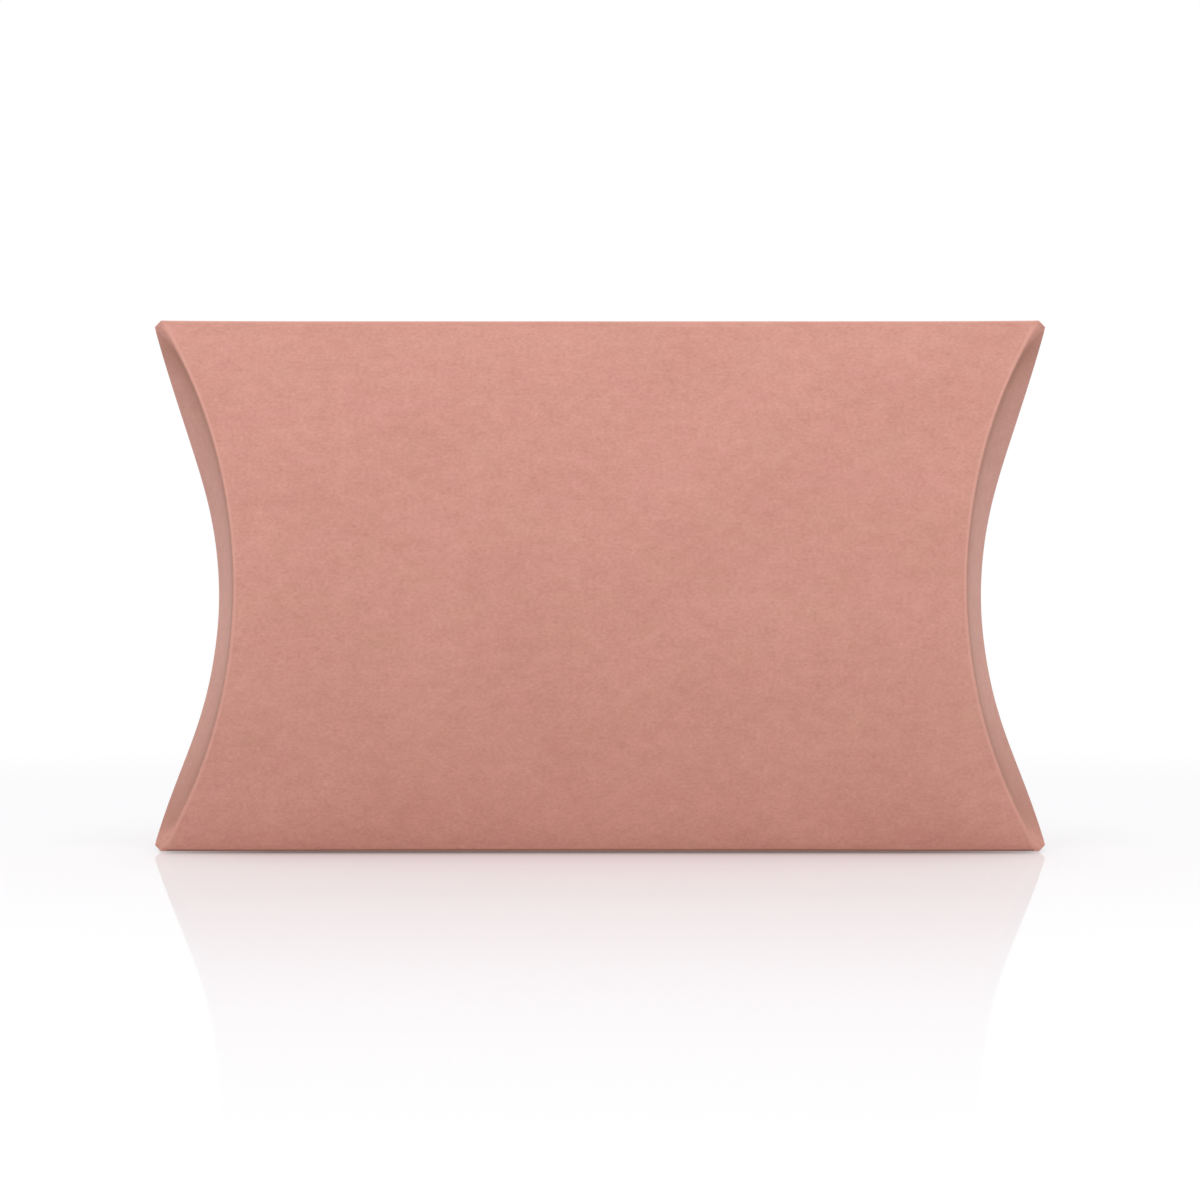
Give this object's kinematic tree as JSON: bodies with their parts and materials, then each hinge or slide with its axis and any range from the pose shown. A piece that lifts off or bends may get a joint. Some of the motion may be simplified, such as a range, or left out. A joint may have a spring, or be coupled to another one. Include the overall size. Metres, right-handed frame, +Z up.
{
  "type": "pillow box",
  "caption": "Plain closed pillow box of creased rose-tinted kraft board, standing on its long bottom fold, with curved end flaps that swing open.",
  "frame": {"origin": "middle of the flat underside of the bottom fold, on which the box stands", "axes": "+Z up across the box from the bottom fold to the top fold; +X along the box to the right end, as seen from the front; +Y toward the back, so the front panel faces -Y"},
  "size_m": [0.1502, 0.024, 0.0895],
  "materials": {
    "board": "uncoated rose-tinted kraft board, matte",
    "creased_board": "the same board, crushed and slightly burnished along a score",
    "glue": "dried clear-cream dispersion glue"
  },
  "bodies": {
    "box_body": {"front_panel": "board", "back_panel": "board", "top_fold": "creased_board", "bottom_fold": "creased_board", "glue_tab": "board", "glue_line": "glue", "left_front_score": "creased_board", "left_back_score": "creased_board", "right_front_score": "creased_board", "right_back_score": "creased_board"},
    "left_outer_flap_leaf_1": {"left_outer_flap_leaf_1": "board"},
    "left_outer_flap_leaf_2": {"left_outer_flap_leaf_2": "board"},
    "left_outer_flap_leaf_3": {"left_outer_flap_leaf_3": "board"},
    "left_outer_flap_leaf_4": {"left_outer_flap_leaf_4": "board"},
    "left_outer_flap_leaf_5": {"left_outer_flap_leaf_5": "board"},
    "left_outer_flap_leaf_6": {"left_outer_flap_leaf_6": "board"},
    "left_outer_flap_leaf_7": {"left_outer_flap_leaf_7": "board"},
    "left_inner_flap_leaf_1": {"left_inner_flap_leaf_1": "board"},
    "left_inner_flap_leaf_2": {"left_inner_flap_leaf_2": "board"},
    "left_inner_flap_leaf_3": {"left_inner_flap_leaf_3": "board"},
    "left_inner_flap_leaf_4": {"left_inner_flap_leaf_4": "board"},
    "left_inner_flap_leaf_5": {"left_inner_flap_leaf_5": "board"},
    "left_inner_flap_leaf_6": {"left_inner_flap_leaf_6": "board"},
    "left_inner_flap_leaf_7": {"left_inner_flap_leaf_7": "board"},
    "right_outer_flap_leaf_1": {"right_outer_flap_leaf_1": "board"},
    "right_outer_flap_leaf_2": {"right_outer_flap_leaf_2": "board"},
    "right_outer_flap_leaf_3": {"right_outer_flap_leaf_3": "board"},
    "right_outer_flap_leaf_4": {"right_outer_flap_leaf_4": "board"},
    "right_outer_flap_leaf_5": {"right_outer_flap_leaf_5": "board"},
    "right_outer_flap_leaf_6": {"right_outer_flap_leaf_6": "board"},
    "right_outer_flap_leaf_7": {"right_outer_flap_leaf_7": "board"},
    "right_inner_flap_leaf_1": {"right_inner_flap_leaf_1": "board"},
    "right_inner_flap_leaf_2": {"right_inner_flap_leaf_2": "board"},
    "right_inner_flap_leaf_3": {"right_inner_flap_leaf_3": "board"},
    "right_inner_flap_leaf_4": {"right_inner_flap_leaf_4": "board"},
    "right_inner_flap_leaf_5": {"right_inner_flap_leaf_5": "board"},
    "right_inner_flap_leaf_6": {"right_inner_flap_leaf_6": "board"},
    "right_inner_flap_leaf_7": {"right_inner_flap_leaf_7": "board"}
  },
  "joints": [
    {"name": "left_outer_flap_leaf_1_hinge", "type": "hinge", "parent": "box_body", "child": "left_outer_flap_leaf_1", "pos_m": [-0.06945, -0.00389, 0.00751], "axis": [0.4312, -0.3648, 0.8252], "range_deg": [0, 74]},
    {"name": "left_outer_flap_leaf_2_hinge", "type": "hinge", "parent": "box_body", "child": "left_outer_flap_leaf_2", "pos_m": [-0.06423, -0.00834, 0.01992], "axis": [0.2983, -0.2573, 0.9191], "range_deg": [0, 76.98]},
    {"name": "left_outer_flap_leaf_3_hinge", "type": "hinge", "parent": "box_body", "child": "left_outer_flap_leaf_3", "pos_m": [-0.06126, -0.01091, 0.03234], "axis": [0.153, -0.1332, 0.9792], "range_deg": [0, 77.89]},
    {"name": "left_outer_flap_leaf_4_hinge", "type": "hinge", "parent": "box_body", "child": "left_outer_flap_leaf_4", "pos_m": [-0.0603, -0.01175, 0.04475], "axis": [0, 0, 1], "range_deg": [0, 77.8]},
    {"name": "left_outer_flap_leaf_5_hinge", "type": "hinge", "parent": "box_body", "child": "left_outer_flap_leaf_5", "pos_m": [-0.06127, -0.01091, 0.05716], "axis": [-0.153, 0.1332, 0.9792], "range_deg": [0, 76.57]},
    {"name": "left_outer_flap_leaf_6_hinge", "type": "hinge", "parent": "box_body", "child": "left_outer_flap_leaf_6", "pos_m": [-0.06423, -0.00834, 0.06958], "axis": [-0.2983, 0.2573, 0.9191], "range_deg": [0, 75.5]},
    {"name": "left_outer_flap_leaf_7_hinge", "type": "hinge", "parent": "box_body", "child": "left_outer_flap_leaf_7", "pos_m": [-0.06946, -0.00389, 0.08199], "axis": [-0.4312, 0.3648, 0.8252], "range_deg": [0, 73.05]},
    {"name": "left_inner_flap_leaf_1_hinge", "type": "hinge", "parent": "box_body", "child": "left_inner_flap_leaf_1", "pos_m": [-0.06819, 0.00487, 0.00982], "axis": [-0.4074, -0.3463, -0.845], "range_deg": [0, 99.48]},
    {"name": "left_inner_flap_leaf_2_hinge", "type": "hinge", "parent": "box_body", "child": "left_inner_flap_leaf_2", "pos_m": [-0.06368, 0.00876, 0.02146], "axis": [-0.2809, -0.2426, -0.9286], "range_deg": [0, 94.2]},
    {"name": "left_inner_flap_leaf_3_hinge", "type": "hinge", "parent": "box_body", "child": "left_inner_flap_leaf_3", "pos_m": [-0.06109, 0.01101, 0.03311], "axis": [-0.1436, -0.1251, -0.9817], "range_deg": [0, 91.05]},
    {"name": "left_inner_flap_leaf_4_hinge", "type": "hinge", "parent": "box_body", "child": "left_inner_flap_leaf_4", "pos_m": [-0.06025, 0.01175, 0.04475], "axis": [0, 0, -1], "range_deg": [0, 90]},
    {"name": "left_inner_flap_leaf_5_hinge", "type": "hinge", "parent": "box_body", "child": "left_inner_flap_leaf_5", "pos_m": [-0.06109, 0.01101, 0.05639], "axis": [0.1436, 0.1251, -0.9817], "range_deg": [0, 91.05]},
    {"name": "left_inner_flap_leaf_6_hinge", "type": "hinge", "parent": "box_body", "child": "left_inner_flap_leaf_6", "pos_m": [-0.06368, 0.00876, 0.06804], "axis": [0.2809, 0.2426, -0.9286], "range_deg": [0, 94.2]},
    {"name": "left_inner_flap_leaf_7_hinge", "type": "hinge", "parent": "box_body", "child": "left_inner_flap_leaf_7", "pos_m": [-0.06819, 0.00487, 0.07968], "axis": [0.4074, 0.3463, -0.845], "range_deg": [0, 99.48]},
    {"name": "right_outer_flap_leaf_1_hinge", "type": "hinge", "parent": "box_body", "child": "right_outer_flap_leaf_1", "pos_m": [0.06945, -0.00389, 0.00751], "axis": [0.4312, 0.3648, -0.8252], "range_deg": [0, 74]},
    {"name": "right_outer_flap_leaf_2_hinge", "type": "hinge", "parent": "box_body", "child": "right_outer_flap_leaf_2", "pos_m": [0.06423, -0.00834, 0.01992], "axis": [0.2983, 0.2573, -0.9191], "range_deg": [0, 76.98]},
    {"name": "right_outer_flap_leaf_3_hinge", "type": "hinge", "parent": "box_body", "child": "right_outer_flap_leaf_3", "pos_m": [0.06126, -0.01091, 0.03234], "axis": [0.153, 0.1332, -0.9792], "range_deg": [0, 77.89]},
    {"name": "right_outer_flap_leaf_4_hinge", "type": "hinge", "parent": "box_body", "child": "right_outer_flap_leaf_4", "pos_m": [0.0603, -0.01175, 0.04475], "axis": [0, 0, -1], "range_deg": [0, 77.8]},
    {"name": "right_outer_flap_leaf_5_hinge", "type": "hinge", "parent": "box_body", "child": "right_outer_flap_leaf_5", "pos_m": [0.06127, -0.01091, 0.05716], "axis": [-0.153, -0.1332, -0.9792], "range_deg": [0, 76.57]},
    {"name": "right_outer_flap_leaf_6_hinge", "type": "hinge", "parent": "box_body", "child": "right_outer_flap_leaf_6", "pos_m": [0.06423, -0.00834, 0.06958], "axis": [-0.2983, -0.2573, -0.9191], "range_deg": [0, 75.5]},
    {"name": "right_outer_flap_leaf_7_hinge", "type": "hinge", "parent": "box_body", "child": "right_outer_flap_leaf_7", "pos_m": [0.06946, -0.00389, 0.08199], "axis": [-0.4312, -0.3648, -0.8252], "range_deg": [0, 73.05]},
    {"name": "right_inner_flap_leaf_1_hinge", "type": "hinge", "parent": "box_body", "child": "right_inner_flap_leaf_1", "pos_m": [0.06819, 0.00487, 0.00982], "axis": [-0.4074, 0.3463, 0.845], "range_deg": [0, 99.48]},
    {"name": "right_inner_flap_leaf_2_hinge", "type": "hinge", "parent": "box_body", "child": "right_inner_flap_leaf_2", "pos_m": [0.06368, 0.00876, 0.02146], "axis": [-0.2809, 0.2426, 0.9286], "range_deg": [0, 94.2]},
    {"name": "right_inner_flap_leaf_3_hinge", "type": "hinge", "parent": "box_body", "child": "right_inner_flap_leaf_3", "pos_m": [0.06109, 0.01101, 0.03311], "axis": [-0.1436, 0.1251, 0.9817], "range_deg": [0, 91.05]},
    {"name": "right_inner_flap_leaf_4_hinge", "type": "hinge", "parent": "box_body", "child": "right_inner_flap_leaf_4", "pos_m": [0.06025, 0.01175, 0.04475], "axis": [0, 0, 1], "range_deg": [0, 90]},
    {"name": "right_inner_flap_leaf_5_hinge", "type": "hinge", "parent": "box_body", "child": "right_inner_flap_leaf_5", "pos_m": [0.06109, 0.01101, 0.05639], "axis": [0.1436, -0.1251, 0.9817], "range_deg": [0, 91.05]},
    {"name": "right_inner_flap_leaf_6_hinge", "type": "hinge", "parent": "box_body", "child": "right_inner_flap_leaf_6", "pos_m": [0.06368, 0.00876, 0.06804], "axis": [0.2809, -0.2426, 0.9286], "range_deg": [0, 94.2]},
    {"name": "right_inner_flap_leaf_7_hinge", "type": "hinge", "parent": "box_body", "child": "right_inner_flap_leaf_7", "pos_m": [0.06819, 0.00487, 0.07968], "axis": [0.4074, -0.3463, 0.845], "range_deg": [0, 99.48]}
  ],
  "couplings": [
    {"joint": "left_outer_flap_leaf_1_hinge", "follows": "left_outer_flap_leaf_4_hinge", "ratio": 0.95113},
    {"joint": "left_outer_flap_leaf_2_hinge", "follows": "left_outer_flap_leaf_4_hinge", "ratio": 0.98945},
    {"joint": "left_outer_flap_leaf_3_hinge", "follows": "left_outer_flap_leaf_4_hinge", "ratio": 1.0011},
    {"joint": "left_outer_flap_leaf_5_hinge", "follows": "left_outer_flap_leaf_4_hinge", "ratio": 0.98423},
    {"joint": "left_outer_flap_leaf_6_hinge", "follows": "left_outer_flap_leaf_4_hinge", "ratio": 0.97046},
    {"joint": "left_outer_flap_leaf_7_hinge", "follows": "left_outer_flap_leaf_4_hinge", "ratio": 0.93893},
    {"joint": "left_inner_flap_leaf_1_hinge", "follows": "left_outer_flap_leaf_4_hinge", "ratio": 1.2786},
    {"joint": "left_inner_flap_leaf_2_hinge", "follows": "left_outer_flap_leaf_4_hinge", "ratio": 1.2108},
    {"joint": "left_inner_flap_leaf_3_hinge", "follows": "left_outer_flap_leaf_4_hinge", "ratio": 1.1703},
    {"joint": "left_inner_flap_leaf_4_hinge", "follows": "left_outer_flap_leaf_4_hinge", "ratio": 1.1568},
    {"joint": "left_inner_flap_leaf_5_hinge", "follows": "left_outer_flap_leaf_4_hinge", "ratio": 1.1703},
    {"joint": "left_inner_flap_leaf_6_hinge", "follows": "left_outer_flap_leaf_4_hinge", "ratio": 1.2108},
    {"joint": "left_inner_flap_leaf_7_hinge", "follows": "left_outer_flap_leaf_4_hinge", "ratio": 1.2786},
    {"joint": "right_outer_flap_leaf_1_hinge", "follows": "right_outer_flap_leaf_4_hinge", "ratio": 0.95113},
    {"joint": "right_outer_flap_leaf_2_hinge", "follows": "right_outer_flap_leaf_4_hinge", "ratio": 0.98945},
    {"joint": "right_outer_flap_leaf_3_hinge", "follows": "right_outer_flap_leaf_4_hinge", "ratio": 1.0011},
    {"joint": "right_outer_flap_leaf_5_hinge", "follows": "right_outer_flap_leaf_4_hinge", "ratio": 0.98423},
    {"joint": "right_outer_flap_leaf_6_hinge", "follows": "right_outer_flap_leaf_4_hinge", "ratio": 0.97046},
    {"joint": "right_outer_flap_leaf_7_hinge", "follows": "right_outer_flap_leaf_4_hinge", "ratio": 0.93893},
    {"joint": "right_inner_flap_leaf_1_hinge", "follows": "right_outer_flap_leaf_4_hinge", "ratio": 1.2786},
    {"joint": "right_inner_flap_leaf_2_hinge", "follows": "right_outer_flap_leaf_4_hinge", "ratio": 1.2108},
    {"joint": "right_inner_flap_leaf_3_hinge", "follows": "right_outer_flap_leaf_4_hinge", "ratio": 1.1703},
    {"joint": "right_inner_flap_leaf_4_hinge", "follows": "right_outer_flap_leaf_4_hinge", "ratio": 1.1568},
    {"joint": "right_inner_flap_leaf_5_hinge", "follows": "right_outer_flap_leaf_4_hinge", "ratio": 1.1703},
    {"joint": "right_inner_flap_leaf_6_hinge", "follows": "right_outer_flap_leaf_4_hinge", "ratio": 1.2108},
    {"joint": "right_inner_flap_leaf_7_hinge", "follows": "right_outer_flap_leaf_4_hinge", "ratio": 1.2786}
  ]
}
